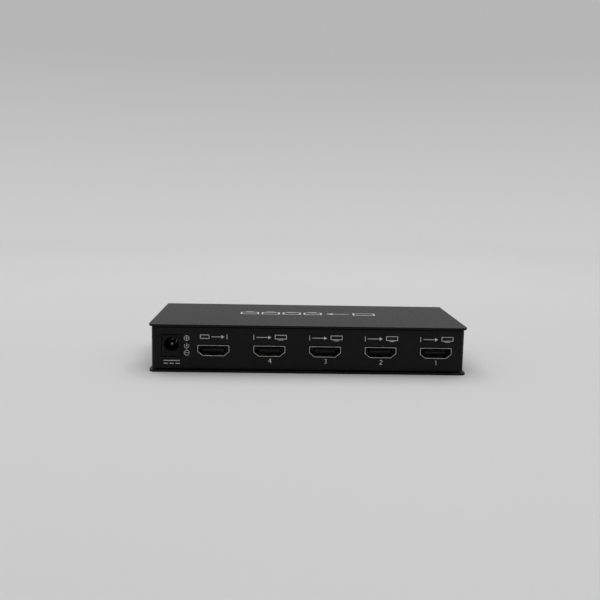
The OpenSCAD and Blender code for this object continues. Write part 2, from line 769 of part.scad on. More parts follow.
// Power inductor: a square shielded coil with cut corners and a round top
module power_inductor() color([0.2, 0.2, 0.21])
    translate([coil_pos[0], coil_pos[1], board_top]) {
        case_part_h = coil_h * 0.87;
        across = coil_w * 1.24;
        intersection() {
            translate([-coil_w / 2, -coil_w / 2, 0]) cube([coil_w, coil_w, case_part_h]);
            rotate([0, 0, 45]) translate([-across / 2, -across / 2, 0]) cube([across, across, case_part_h]);
        }
        cylinder(r = coil_w * 0.41, h = coil_h);
    }

// Supply capacitors: round cans on square bases with one cut corner
module supply_capacitors() color(tin)
    for (i = [0:can_count - 1]) translate([can_first[0] + i * can_pitch, can_first[1], board_top]) {
        base_w = can_d * 1.05;
        cut = can_d * 0.48;
        color(plastic_black) difference() {
            translate([-base_w / 2, -base_w / 2, 0]) cube([base_w, base_w, can_base_h]);
            translate([base_w / 2, -base_w / 2, 0]) rotate([0, 0, 45])
                cube([cut, cut / 2, 3 * can_base_h], center = true);
        }
        translate([0, 0, can_base_h - overlap]) cylinder(r = can_d / 2, h = can_h - can_base_h);
    }

// Crystal: a low metal can with round ends on a flat foot
module crystal() color(tin)
    translate([crystal_pos[0], crystal_pos[1], board_top]) {
        rim = crystal_w * 0.1;
        capsule(crystal_l, crystal_w, crystal_foot_h);
        capsule(crystal_l - 2 * rim, crystal_w - 2 * rim, crystal_h);
    }

// Flat solid with round ends
module capsule(l, w, h) {
    translate([(w - l) / 2, -w / 2, 0]) cube([l - w, w, h]);
    for (x = [(w - l) / 2, (l - w) / 2]) translate([x, 0, 0]) cylinder(r = w / 2, h = h);
}

// Surge arrays: one flat package behind each socket
module surge_arrays() color(plastic_black)
    for (x = socket_xs) translate([x - surge_l / 2, surge_y, board_top]) cube([surge_l, surge_w, surge_h]);

// Small resistors and capacitors: a row behind each socket and one behind each lamp
module small_components() color([0.35, 0.3, 0.24]) {
    for (x = socket_xs, i = [-2:1])
        translate([x + i * small_pitch - small_w / 2, small_y, board_top]) cube([small_w, small_l, small_h]);
    for (x = lamp_xs)
        translate([x - small_l / 2, lamp_row_y, board_top]) cube([small_l, small_w, small_h]);
}

outer_wrap();
inner_frame();
board_standoffs();
case_screws();
board_screws();
main_board();
for (i = [0:len(SOCKETS) - 1]) {
    at_socket(i) socket_shell();
    at_socket(i) socket_insert();
    at_socket(i) socket_contacts();
}
power_jack_body();
power_jack_pin();
power_jack_leaf();
power_jack_terminals();
for (i = [0:len(LAMPS) - 1])
    translate([lamp_xs[i], lamp_y, lamp_z]) lamp(LAMPS[i] == "power_lamp" ? lamp_red : lamp_green);
lamp_leads();
splitter_chip();
splitter_chip_pins();
voltage_regulator();
power_inductor();
supply_capacitors();
crystal();
memory_chips();
surge_arrays();
small_components();
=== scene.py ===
import math

import bmesh
import bpy
from mathutils import Matrix, Vector


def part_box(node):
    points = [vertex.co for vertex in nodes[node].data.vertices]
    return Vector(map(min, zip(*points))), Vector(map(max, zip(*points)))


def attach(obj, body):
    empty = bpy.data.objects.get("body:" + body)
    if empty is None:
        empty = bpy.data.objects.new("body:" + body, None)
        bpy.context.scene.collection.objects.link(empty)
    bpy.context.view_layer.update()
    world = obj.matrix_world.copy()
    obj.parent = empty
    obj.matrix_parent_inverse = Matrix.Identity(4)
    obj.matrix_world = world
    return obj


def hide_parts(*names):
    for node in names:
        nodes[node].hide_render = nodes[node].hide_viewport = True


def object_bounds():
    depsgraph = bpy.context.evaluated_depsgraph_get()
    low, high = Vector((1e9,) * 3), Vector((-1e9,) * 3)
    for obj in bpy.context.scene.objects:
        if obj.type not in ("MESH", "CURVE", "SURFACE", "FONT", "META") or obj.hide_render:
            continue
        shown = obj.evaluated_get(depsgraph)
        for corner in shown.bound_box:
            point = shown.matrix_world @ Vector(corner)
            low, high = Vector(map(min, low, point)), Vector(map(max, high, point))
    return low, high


# Video splitter box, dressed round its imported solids.
# Metres, +Z up, the connector panel faces -Y and the lamp face +Y.
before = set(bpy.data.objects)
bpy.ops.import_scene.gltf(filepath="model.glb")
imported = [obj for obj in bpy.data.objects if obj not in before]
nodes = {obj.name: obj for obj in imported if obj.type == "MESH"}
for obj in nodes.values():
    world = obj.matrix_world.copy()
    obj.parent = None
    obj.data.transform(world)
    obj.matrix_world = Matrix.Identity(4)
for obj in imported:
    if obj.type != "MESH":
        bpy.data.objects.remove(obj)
cad_low, cad_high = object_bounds()
mm = 0.001


# Studio: a round seamless cove of pale paper under one large soft lamp, a little behind the box.
# The camera stands where the photograph's stood, fitted to the case's edges and sockets.
def deselect():
    """Leaves nothing selected, so that an operator acts on the new piece alone."""
    if bpy.context.object and bpy.context.object.mode != "OBJECT":
        bpy.ops.object.mode_set(mode="OBJECT")
    bpy.ops.object.select_all(action="DESELECT")


def noise(tree, scale, detail, stretch=(1, 1, 1)):
    """Noise on the piece's own coordinates, with scale in cells per metre."""
    place = tree.nodes.new("ShaderNodeTexCoord")
    mapping = tree.nodes.new("ShaderNodeMapping")
    mapping.inputs["Scale"].default_value = stretch
    texture = tree.nodes.new("ShaderNodeTexNoise")
    texture.inputs["Scale"].default_value = scale
    texture.inputs["Detail"].default_value = detail
    tree.links.new(place.outputs["Object"], mapping.inputs["Vector"])
    tree.links.new(mapping.outputs["Vector"], texture.inputs["Vector"])
    return texture.outputs["Fac"]


noise_low = 0.3
noise_high = 0.7


def tint(tree, value, socket, dark, light):
    """Drives a colour socket from one colour to another by a noise."""
    ramp = tree.nodes.new("ShaderNodeValToRGB")
    ramp.color_ramp.elements[0].position = noise_low
    ramp.color_ramp.elements[0].color = (*dark, 1)
    ramp.color_ramp.elements[1].position = noise_high
    ramp.color_ramp.elements[1].color = (*light, 1)
    tree.links.new(value, ramp.inputs["Fac"])
    tree.links.new(ramp.outputs["Color"], socket)


def math_node(tree, operation, first, second):
    """Works out one sum of two values, the second of which may be a plain number."""
    node = tree.nodes.new("ShaderNodeMath")
    node.operation = operation
    tree.links.new(first, node.inputs[0])
    if isinstance(second, float):
        node.inputs[1].default_value = second
    else:
        tree.links.new(second, node.inputs[1])
    return node.outputs["Value"]


def finish(name, metallic=0.0, roughness=0.5, specular=0.5):
    """New material; returns it with its node tree and its shader."""
    material = bpy.data.materials.new(name)
    material.use_nodes = True
    shader = material.node_tree.nodes["Principled BSDF"]
    shader.inputs["Metallic"].default_value = metallic
    shader.inputs["Roughness"].default_value = roughness
    shader.inputs["Specular IOR Level"].default_value = specular
    return material, material.node_tree, shader


camera_distance = 345.2 * mm
camera_side = -14.5 * mm
camera_height = 83.7 * mm
camera_place = Vector((camera_side, cad_low.y - camera_distance, camera_height))
camera_yaw = math.radians(1.68)
camera_pitch = math.radians(8.2)
camera_roll = math.radians(-1.08)
focal_pixels = 775
image_pixels = 600
sensor_width = 36
ahead = Vector((
    math.sin(camera_yaw) * math.cos(camera_pitch),
    math.cos(camera_yaw) * math.cos(camera_pitch),
    -math.sin(camera_pitch)))
level = Vector((math.cos(camera_yaw), -math.sin(camera_yaw), 0))
upright = level.cross(ahead)
right = level * math.cos(camera_roll) - upright * math.sin(camera_roll)
up = upright * math.cos(camera_roll) + level * math.sin(camera_roll)
deselect()
bpy.ops.object.camera_add()
camera = bpy.context.object
camera.data.sensor_width = sensor_width
camera.data.lens = focal_pixels / image_pixels * sensor_width
camera.data.clip_start = 0.01
camera.data.clip_end = 20
camera.matrix_world = Matrix.Translation(camera_place) @ Matrix((right, up, -ahead)).transposed().to_4x4()
bpy.context.scene.camera = camera
bpy.context.scene.view_settings.view_transform = "Standard"

floor_r = 1.3
cove_r = 0.7
cove_steps = 14
wall_top = 1.1
deselect()
bpy.ops.mesh.primitive_circle_add(vertices=96, radius=floor_r, fill_type="NGON")
cove = bpy.context.object
cove.name = "studio_cove"
bpy.ops.object.mode_set(mode="EDIT")
bpy.ops.mesh.select_mode(type="EDGE")
bpy.ops.mesh.select_all(action="SELECT")
reach = floor_r
rise = 0
for step in range(1, cove_steps + 1):
    angle = math.pi / 2 * step / cove_steps
    next_reach = floor_r + cove_r * math.sin(angle)
    next_rise = cove_r * (1 - math.cos(angle))
    bpy.ops.mesh.extrude_edges_move(TRANSFORM_OT_translate={"value": (0, 0, next_rise - rise)})
    bpy.ops.transform.resize(value=(next_reach / reach, next_reach / reach, 1), center_override=(0, 0, 0))
    reach = next_reach
    rise = next_rise
bpy.ops.mesh.extrude_edges_move(TRANSFORM_OT_translate={"value": (0, 0, wall_top - rise)})
bpy.ops.mesh.select_all(action="SELECT")
bpy.ops.mesh.normals_make_consistent(inside=True)
bpy.ops.object.mode_set(mode="OBJECT")
bpy.ops.object.shade_smooth()
paper, tree, shader = finish("cove_paper", roughness=0.8, specular=0.2)
tint(tree, noise(tree, 2, 2), shader.inputs["Base Color"], (0.66, 0.66, 0.665), (0.69, 0.69, 0.695))
cove.data.materials.append(paper)

# Past the floor round the box, the cove keeps an even pale tone that fades with height.
pale_from = 0.35
pale_to = 0.95
pale_low = 0.6
pale_high = 0.47
pale_rise = 0.45
place = tree.nodes.new("ShaderNodeTexCoord")
flat = tree.nodes.new("ShaderNodeMapping")
flat.inputs["Scale"].default_value = (1, 1, 0)
away = tree.nodes.new("ShaderNodeVectorMath")
away.operation = "LENGTH"
tree.links.new(place.outputs["Object"], flat.inputs["Vector"])
tree.links.new(flat.outputs["Vector"], away.inputs[0])
far = tree.nodes.new("ShaderNodeMapRange")
far.inputs["From Min"].default_value = pale_from
far.inputs["From Max"].default_value = pale_to
tree.links.new(away.outputs["Value"], far.inputs["Value"])
axes = tree.nodes.new("ShaderNodeSeparateXYZ")
tree.links.new(place.outputs["Object"], axes.inputs["Vector"])
fade = tree.nodes.new("ShaderNodeMapRange")
fade.inputs["From Max"].default_value = pale_rise
fade.inputs["To Min"].default_value = pale_low
fade.inputs["To Max"].default_value = pale_high
tree.links.new(axes.outputs["Z"], fade.inputs["Value"])
glow = tree.nodes.new("ShaderNodeEmission")
tree.links.new(fade.outputs["Result"], glow.inputs["Strength"])
seen = tree.nodes.new("ShaderNodeLightPath")
shown = seen.outputs["Is Camera Ray"]
for ray in ("Is Glossy Ray", "Is Transmission Ray"):
    shown = math_node(tree, "MAXIMUM", shown, seen.outputs[ray])
mix = tree.nodes.new("ShaderNodeMixShader")
tree.links.new(math_node(tree, "MULTIPLY", far.outputs["Result"], shown), mix.inputs["Fac"])
tree.links.new(shader.outputs["BSDF"], mix.inputs[1])
tree.links.new(glow.outputs["Emission"], mix.inputs[2])
tree.links.new(mix.outputs["Shader"], tree.nodes["Material Output"].inputs["Surface"])

lamp_height = 1.3
lamp_back = 0.35
lamp_size = 1.6
lamp_watts = 14
room_light = 0.42
bpy.ops.object.light_add(type="AREA", location=(0, lamp_back, lamp_height))
soft_box = bpy.context.object
soft_box.data.size = lamp_size
soft_box.data.energy = lamp_watts
soft_box.rotation_euler = (-math.atan2(lamp_back, lamp_height) / 2, 0, 0)
room = bpy.data.worlds.new("studio_room")
bpy.context.scene.world = room
room.use_nodes = True
room.node_tree.nodes["Background"].inputs["Color"].default_value = (1, 1, 1, 1)
room.node_tree.nodes["Background"].inputs["Strength"].default_value = room_light


# Case: two folded sheets of 1 mm steel in fine-textured black powder coat.
# The wrap is the top plate, lamp face and bottom plate; the frame is the panel and side walls.
def vary(tree, value, socket, low, high):
    """Drives a number socket between two values by a noise."""
    spread = tree.nodes.new("ShaderNodeMapRange")
    spread.inputs["From Min"].default_value = noise_low
    spread.inputs["From Max"].default_value = noise_high
    spread.inputs["To Min"].default_value = low
    spread.inputs["To Max"].default_value = high
    tree.links.new(value, spread.inputs["Value"])
    tree.links.new(spread.outputs["Result"], socket)


def relief(tree, value, shader, depth, strength=1.0):
    """Gives the surface a relief of the given depth in metres."""
    bump = tree.nodes.new("ShaderNodeBump")
    bump.inputs["Strength"].default_value = strength
    bump.inputs["Distance"].default_value = depth
    tree.links.new(value, bump.inputs["Height"])
    tree.links.new(bump.outputs["Normal"], shader.inputs["Normal"])


def dress(material, *names):
    """Gives CAD nodes a material."""
    for name in names:
        nodes[name].data.materials.clear()
        nodes[name].data.materials.append(material)


join_gap = 0.001 * mm
bevel_join_gap = 0.002 * mm
flat_angle = math.radians(1)
sharp_angle = math.radians(50)
wrap_edge = 0.06 * mm
frame_edge = 0.15 * mm


def join_points(*names):
    """Joins the doubled points of CAD nodes' triangles."""
    for name in names:
        weld = nodes[name].modifiers.new("join_triangles", "WELD")
        weld.merge_threshold = join_gap


def soften_edges(width, *names):
    """Takes the sharp edges off CAD nodes, as paint or tooling does."""
    join_points(*names)
    for name in names:
        flats = nodes[name].modifiers.new("join_flats", "DECIMATE")
        flats.decimate_type = "DISSOLVE"
        flats.angle_limit = flat_angle
        bevel = nodes[name].modifiers.new("soft_edges", "BEVEL")
        bevel.width = width
        bevel.segments = 2
        bevel.limit_method = "ANGLE"
        bevel.angle_limit = sharp_angle
        bevel.use_clamp_overlap = False
        joints = nodes[name].modifiers.new("join_bevels", "WELD")
        joints.merge_threshold = bevel_join_gap
        nodes[name].modifiers.new("flat_shading", "WEIGHTED_NORMAL")
        even = nodes[name].modifiers.new("even_triangles", "TRIANGULATE")
        even.keep_custom_normals = True


coat, tree, shader = finish("case_powder_coat", specular=0.15)
cloud = noise(tree, 300, 4)
tint(tree, cloud, shader.inputs["Base Color"], (0.0042, 0.0042, 0.0045), (0.0056, 0.0056, 0.006))
vary(tree, noise(tree, 900, 3), shader.inputs["Roughness"], 0.36, 0.43)
relief(tree, noise(tree, 2600, 3), shader, 0.02 * mm, 0.4)
dress(coat, "outer_wrap", "inner_frame")
soften_edges(wrap_edge, "outer_wrap")
soften_edges(frame_edge, "inner_frame")


# Fixings: press-in steel standoffs and board screws in bright plate, and black countersunk case screws.
# The case screws come from below, through the bottom plate and the frame's tabs.
plate, tree, shader = finish("bright_plate", metallic=1.0, roughness=0.3)
tint(tree, noise(tree, 400, 2), shader.inputs["Base Color"], (0.56, 0.56, 0.57), (0.66, 0.66, 0.67))
vary(tree, noise(tree, 1500, 3), shader.inputs["Roughness"], 0.24, 0.4)
dress(plate, "board_standoffs", "board_screws")

oxide, tree, shader = finish("black_oxide", metallic=0.6, roughness=0.4)
tint(tree, noise(tree, 500, 3), shader.inputs["Base Color"], (0.018, 0.018, 0.02), (0.035, 0.035, 0.037))
vary(tree, noise(tree, 1800, 2), shader.inputs["Roughness"], 0.34, 0.46)
dress(oxide, "case_screws")


# Main board: glass fibre under green solder mask, with copper tracks that show as faint ridges.
# It lies on the four standoffs.
mask, tree, shader = finish("solder_mask", roughness=0.35)
tracks = noise(tree, 700, 1, (1, 6, 1))
tint(tree, tracks, shader.inputs["Base Color"], (0.008, 0.05, 0.022), (0.02, 0.11, 0.05))
relief(tree, tracks, shader, 0.03 * mm)
dress(mask, "main_board")


# Board parts: moulded chips, a ferrite coil, aluminium capacitor cans, a crystal and ceramic chips.
# All are soldered to the board's upper side.
resin, tree, shader = finish("moulded_resin", roughness=0.55, specular=0.35)
tint(tree, noise(tree, 900, 3), shader.inputs["Base Color"], (0.010, 0.010, 0.011), (0.019, 0.019, 0.02))
relief(tree, noise(tree, 5000, 2), shader, 0.006 * mm)
dress(resin, "splitter_chip", "memory_chips", "surge_arrays", "voltage_regulator")
dress(plate, "splitter_chip_pins", "lamp_leads")

ferrite, tree, shader = finish("coil_ferrite", roughness=0.7, specular=0.3)
tint(tree, noise(tree, 1200, 4), shader.inputs["Base Color"], (0.03, 0.03, 0.032), (0.07, 0.07, 0.072))
relief(tree, noise(tree, 3500, 3), shader, 0.02 * mm)
dress(ferrite, "power_inductor")

can, tree, shader = finish("can_aluminium", metallic=1.0, roughness=0.35)
tint(tree, noise(tree, 300, 2), shader.inputs["Base Color"], (0.68, 0.68, 0.69), (0.8, 0.8, 0.81))
vary(tree, noise(tree, 1500, 2, (1, 1, 0.1)), shader.inputs["Roughness"], 0.26, 0.42)
dress(can, "supply_capacitors", "crystal")

ceramic, tree, shader = finish("chip_ceramic", roughness=0.5)
tint(tree, noise(tree, 600, 2), shader.inputs["Base Color"], (0.16, 0.11, 0.07), (0.36, 0.29, 0.2))
dress(ceramic, "small_components")


# Video sockets: a folded nickel shell with a butt seam below, a black moulded insert and gilt contacts.
# Each is soldered to the board by its shell's legs and looks out through the panel.
# The insert is modelled anew, with the tongue's chamfered nose and the ridges that guard the contacts' ends.
sockets = ["video_in", "video_out_4", "video_out_3", "video_out_2", "video_out_1"]
slack = 0.01 * mm


def pick(kind, rule):
    """Selects the verts, edges or faces in edit mode whose middle meets a rule."""
    modes = {"verts": "VERT", "edges": "EDGE", "faces": "FACE"}
    bpy.ops.mesh.select_mode(type=modes[kind])
    bpy.ops.mesh.select_all(action="DESELECT")
    data = bpy.context.object.data
    mesh = bmesh.from_edit_mesh(data)
    for item in getattr(mesh, kind):
        corners = [item.co] if kind == "verts" else [v.co for v in item.verts]
        if rule(sum(corners, Vector()) / len(corners)):
            item.select_set(True)
    mesh.select_flush_mode()
    bmesh.update_edit_mesh(data)


def middle_x(node):
    """Gives the middle of a CAD node's width."""
    low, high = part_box(node)
    return (low.x + high.x) / 2


mouth_level = 10 * mm
mouth_w = 14 * mm
mouth_h = 4.55 * mm
mouth_low_w = 9.3 * mm
mouth_side_h = 2.75 * mm
mouth_top = mouth_level + mouth_h / 2
knee_z = mouth_top - mouth_side_h
corner_x = (mouth_w - mouth_low_w) / 2
corner_z = mouth_h - mouth_side_h
corner_l = math.hypot(corner_x, corner_z)
rim_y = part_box("video_in_shell")[0].y
bright_w = 0.15 * mm
bright_depth = 0.1 * mm
shade_depth = 0.4 * mm
seam_w = 0.14 * mm
seam_rise = 2 * mm
seam_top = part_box("video_in_insert")[0].z + seam_rise
pitch = middle_x("video_out_4_shell") - middle_x("video_in_shell")
nickel, tree, shader = finish("shell_nickel", metallic=1.0)
place = tree.nodes.new("ShaderNodeTexCoord")
axes = tree.nodes.new("ShaderNodeSeparateXYZ")
# Painted shade: the shell's nickel darkens to near black a few tenths of a millimetre into the mouth, where
# the deep socket lies in shade.
depth = tree.nodes.new("ShaderNodeMapRange")
depth.inputs["From Min"].default_value = rim_y + bright_depth
depth.inputs["From Max"].default_value = rim_y + shade_depth
painted_shade = tree.nodes.new("ShaderNodeMixRGB")
tree.links.new(place.outputs["Object"], axes.inputs["Vector"])
tree.links.new(axes.outputs["Y"], depth.inputs["Value"])
tint(tree, noise(tree, 500, 3), painted_shade.inputs["Color1"], (0.588, 0.546, 0.496), (0.742, 0.689, 0.624))
# The second colour is the dark of the painted shade.
tint(tree, noise(tree, 500, 3), painted_shade.inputs["Color2"], (0.05, 0.045, 0.038), (0.065, 0.058, 0.049))
from_first = math_node(tree, "SUBTRACT", axes.outputs["X"], middle_x("video_in_shell"))
from_nearest = math_node(tree, "PINGPONG", from_first, pitch / 2)
# Painted shade: the rim stays nickel-bright next to the mouth, and its outer half is painted dark.
past_side = math_node(tree, "SUBTRACT", from_nearest, mouth_w / 2)
past_top = math_node(tree, "SUBTRACT", axes.outputs["Z"], mouth_top)
past_low = math_node(tree, "SUBTRACT", math_node(tree, "MULTIPLY", past_top, -1.0), mouth_h)
past_knee = math_node(tree, "SUBTRACT", axes.outputs["Z"], knee_z)
past_corner = math_node(
    tree, "SUBTRACT",
    math_node(tree, "MULTIPLY", past_side, corner_z / corner_l),
    math_node(tree, "MULTIPLY", past_knee, corner_x / corner_l))
past_mouth = math_node(
    tree, "MAXIMUM",
    math_node(tree, "MAXIMUM", past_side, past_top),
    math_node(tree, "MAXIMUM", past_low, past_corner))
outside = math_node(tree, "GREATER_THAN", past_mouth, bright_w)
tree.links.new(math_node(tree, "MAXIMUM", depth.outputs["Result"], outside), painted_shade.inputs["Fac"])
at_seam = math_node(tree, "LESS_THAN", from_nearest, seam_w / 2)
below = math_node(tree, "LESS_THAN", axes.outputs["Z"], seam_top)
seam = tree.nodes.new("ShaderNodeMixRGB")
seam.inputs["Color2"].default_value = (0.02, 0.018, 0.015, 1)
tree.links.new(math_node(tree, "MULTIPLY", at_seam, below), seam.inputs["Fac"])
tree.links.new(painted_shade.outputs["Color"], seam.inputs["Color1"])
tree.links.new(seam.outputs["Color"], shader.inputs["Base Color"])
vary(tree, noise(tree, 1500, 3, (1, 0.15, 1)), shader.inputs["Roughness"], 0.15, 0.26)
gilt, tree, shader = finish("contact_gilt", metallic=1.0, roughness=0.25)
tint(tree, noise(tree, 800, 2), shader.inputs["Base Color"], (0.72, 0.5, 0.2), (0.85, 0.63, 0.3))
tongue, tree, shader = finish("tongue_resin", roughness=0.3, specular=0.35)
tint(tree, noise(tree, 900, 3), shader.inputs["Base Color"], (0.002, 0.002, 0.002), (0.0035, 0.0035, 0.0035))
relief(tree, noise(tree, 5000, 2), shader, 0.005 * mm)

insert_low, insert_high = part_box("video_in_insert")
insert_w, insert_l, insert_h = insert_high - insert_low
block_low = 1.675 * mm
block_knee = 3.425 * mm
block_low_w = mouth_low_w
block_mid = (block_low + insert_h) / 2
foot_l = 1.6 * mm
tongue_l = 7.4 * mm
tongue_w = 10.2 * mm
tongue_t = 1.15 * mm
tongue_level = 4 * mm
tongue_inset = mm
nose_side = 0.4 * mm
nose_top = 0.3 * mm
nose_under = 0.46 * mm
ridge_front = 0.47 * mm
ridge_back = 0.68 * mm
ridge_h = 0.13 * mm
shell_edge = 0.05 * mm
smooth_angle = math.radians(35)
deselect()
bpy.ops.mesh.primitive_cube_add(size=1)
insert = bpy.context.object
bpy.ops.object.mode_set(mode="EDIT")
bpy.ops.transform.resize(value=(insert_w, insert_l - tongue_l, insert_h - block_low))
bpy.ops.transform.translate(value=(0, (tongue_l + insert_l) / 2, block_mid))
pick("faces", lambda middle: middle.y < tongue_l + slack)
bpy.ops.mesh.inset(thickness=tongue_inset)
narrow = tongue_w / (insert_w - 2 * tongue_inset)
thin = tongue_t / (insert_h - block_low - 2 * tongue_inset)
bpy.ops.transform.resize(value=(narrow, 1, thin), center_override=(0, tongue_l, block_mid))
bpy.ops.transform.translate(value=(0, 0, tongue_level - block_mid))
bpy.ops.mesh.extrude_region_move(TRANSFORM_OT_translate={"value": (0, -tongue_l, 0)})
pick("edges", lambda middle: middle.y < slack and abs(middle.x) > tongue_w / 2 - slack)
bpy.ops.mesh.bevel(offset=nose_side, affect="EDGES")
for side, nose in ((1, nose_top), (-1, nose_under)):
    pick("edges", lambda middle: middle.y < nose_side
         and side * (middle.z - tongue_level) > tongue_t / 2 - slack)
    bpy.ops.mesh.bevel(offset=nose, affect="EDGES")
for cut_y in (ridge_front, ridge_back):
    bpy.ops.mesh.select_all(action="SELECT")
    bpy.ops.mesh.bisect(plane_co=(0, cut_y, 0), plane_no=(0, 1, 0), threshold=join_gap)
for side in (-1, 1):
    pick("faces", lambda middle: ridge_front < middle.y < ridge_back
         and side * (middle.z - tongue_level) > tongue_t / 2 - slack)
    bpy.ops.mesh.extrude_region_move(TRANSFORM_OT_translate={"value": (0, 0, side * ridge_h)})
    bpy.ops.mesh.select_all(action="SELECT")
    lean = (side * (block_knee - block_low), 0, -(insert_w - block_low_w) / 2)
    corner = (side * block_low_w / 2, 0, block_low)
    bpy.ops.mesh.bisect(plane_co=corner, plane_no=lean, clear_outer=True, threshold=join_gap)
    bpy.ops.mesh.select_mode(type="EDGE")
    bpy.ops.mesh.select_all(action="DESELECT")
    bpy.ops.mesh.select_non_manifold()
    bpy.ops.mesh.edge_face_add()
bpy.ops.mesh.select_all(action="SELECT")
bpy.ops.mesh.bisect(plane_co=(0, insert_l - foot_l, 0), plane_no=(0, 1, 0), threshold=join_gap)
pick("faces", lambda middle: middle.y > insert_l - foot_l and middle.z < block_low + slack)
bpy.ops.mesh.extrude_region_move(TRANSFORM_OT_translate={"value": (0, 0, -block_low)})
bpy.ops.object.mode_set(mode="OBJECT")
bpy.ops.object.shade_smooth_by_angle(angle=smooth_angle)
insert.data.materials.append(tongue)


def copy_to(piece, name, place):
    """Copies a piece with its own mesh and moves the copy's mesh to its place."""
    twin = piece.copy()
    twin.data = piece.data.copy()
    twin.name = name
    twin.data.name = name
    twin.data.transform(Matrix.Translation(place))
    bpy.context.scene.collection.objects.link(twin)
    return twin


for socket in sockets:
    dress(nickel, socket + "_shell")
    dress(gilt, socket + "_contacts")
    soften_edges(shell_edge, socket + "_shell")
    place = (middle_x(socket + "_insert"), insert_low.y, insert_low.z)
    moulding = copy_to(insert, socket + "_moulding", place)
    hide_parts(socket + "_insert")
    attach(moulding, "box")
bpy.data.objects.remove(insert)


# Power jack: a black moulded body with a nickel centre pin and a sprung leaf.
# It is soldered to the board and its square front fills a cut-out in the panel.
jack_edge = 0.12 * mm
jack_resin, tree, shader = finish("jack_resin", roughness=0.45, specular=0.12)
tint(tree, noise(tree, 900, 3), shader.inputs["Base Color"], (0.0045, 0.0045, 0.0047), (0.007, 0.007, 0.0075))
relief(tree, noise(tree, 4500, 2), shader, 0.006 * mm)
dress(jack_resin, "power_jack_body")
# Painted shade: the pin is plated steel, but its base colour is darkened to stand in for the dark bore it
# reflects.
pin_steel, tree, shader = finish("pin_steel", metallic=1.0)
tint(tree, noise(tree, 600, 2), shader.inputs["Base Color"], (0.13, 0.13, 0.135), (0.16, 0.16, 0.165))
vary(tree, noise(tree, 1500, 2), shader.inputs["Roughness"], 0.07, 0.12)
dress(pin_steel, "power_jack_pin")
join_points("power_jack_pin")
dress(plate, "power_jack_terminals")
dress(gilt, "power_jack_leaf")
soften_edges(jack_edge, "power_jack_body")


# Lamps: round 3 mm lenses of tinted resin, cast round a small cup and post of plated steel.
# They are soldered to the board and their domes stand out through holes in the lamp face.
def lens(name, dark, light):
    """Tinted clear resin with a faint haze."""
    material, tree, shader = finish(name, specular=0.35)
    shader.inputs["Transmission Weight"].default_value = 0.7
    shader.inputs["IOR"].default_value = 1.5
    tint(tree, noise(tree, 900, 2), shader.inputs["Base Color"], dark, light)
    vary(tree, noise(tree, 1500, 2), shader.inputs["Roughness"], 0.08, 0.16)
    return material


status_lamps = ["status_lamp_1", "status_lamp_2", "status_lamp_3", "status_lamp_4"]
lamps = status_lamps + ["power_lamp"]
dress(lens("green_lens", (0.018, 0.13, 0.05), (0.025, 0.16, 0.062)), *status_lamps)
dress(lens("red_lens", (0.2, 0.005, 0.005), (0.26, 0.008, 0.007)), "power_lamp")
join_points(*lamps)

lamp_flat = 1.65 * mm
cup_r = 0.68 * mm
cup_h = 1.0 * mm
cup_level = 2.2 * mm
cup_wall = 0.12 * mm
dish_depth = 0.5 * mm
dish_taper = 0.5
post_size = (0.5 * mm, 0.4 * mm)
posts = ((0, 1.7 * mm), (0.95 * mm, 2.9 * mm))
post_edge = 0.08 * mm
core_base = 0.3 * mm
deselect()
bpy.ops.mesh.primitive_cylinder_add(vertices=24, radius=cup_r, depth=cup_h)
core = bpy.context.object
bpy.ops.object.mode_set(mode="EDIT")
bpy.ops.transform.translate(value=(0, 0, cup_level))
pick("faces", lambda middle: middle.z > cup_level + cup_h / 2 - slack)
bpy.ops.mesh.inset(thickness=cup_wall)
bpy.ops.mesh.extrude_region_move(TRANSFORM_OT_translate={"value": (0, 0, -dish_depth)})
bpy.ops.transform.resize(value=(dish_taper, dish_taper, 1))
for post_x, post_h in posts:
    bpy.ops.mesh.primitive_cube_add(size=1)
    bpy.ops.transform.resize(value=(*post_size, post_h))
    bpy.ops.transform.translate(value=(post_x, 0, post_h / 2))
    bpy.ops.mesh.bevel(offset=post_edge, segments=2, affect="EDGES")
bpy.ops.object.mode_set(mode="OBJECT")
core.rotation_euler = (-math.pi / 2, 0, 0)
bpy.ops.object.transform_apply(location=True, rotation=True, scale=True)
bpy.ops.object.shade_smooth_by_angle(angle=smooth_angle)
core.data.materials.append(plate)


def lamp_axis(lamp):
    """Gives a lamp's axis in X and Z, from the flat on its flange and the flange's middle."""
    low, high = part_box(lamp)
    return high.x - lamp_flat, (low.z + high.z) / 2


for lamp in lamps:
    axis_x, axis_z = lamp_axis(lamp)
    twin = copy_to(core, lamp + "_core", (axis_x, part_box(lamp)[0].y + core_base, axis_z))
    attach(twin, "box")
bpy.data.objects.remove(core)


# Printed marks: one pass of white screen ink, a few hundredths of a millimetre thick.
# They are drawn flat, in millimetres, then given the ink's thickness and laid on the faces of the case.
ink_t = 0.03 * mm
ink_sunk = 0.005 * mm
ink, tree, shader = finish("screen_ink", roughness=0.6, specular=0.3)
tint(tree, noise(tree, 900, 3), shader.inputs["Base Color"], (0.56, 0.56, 0.565), (0.66, 0.66, 0.665))
relief(tree, noise(tree, 4000, 2), shader, 0.01 * mm)
on_panel = (math.pi / 2, 0, 0)
on_lamp_face = (math.pi / 2, 0, math.pi)
on_top = (0, 0, math.pi)


def start_drawing():
    """Opens an empty flat drawing in edit mode."""
    deselect()
    bpy.ops.mesh.primitive_plane_add(size=mm)
    bpy.ops.object.mode_set(mode="EDIT")
    bpy.ops.mesh.delete(type="VERT")


def bar(x0, y0, x1, y1):
    """Draws a bar between two corners, in millimetres."""
    bpy.ops.mesh.primitive_plane_add(size=mm)
    bpy.ops.transform.resize(value=(x1 - x0, y1 - y0, 1))
    bpy.ops.transform.translate(value=((x0 + x1) / 2 * mm, (y0 + y1) / 2 * mm, 0))


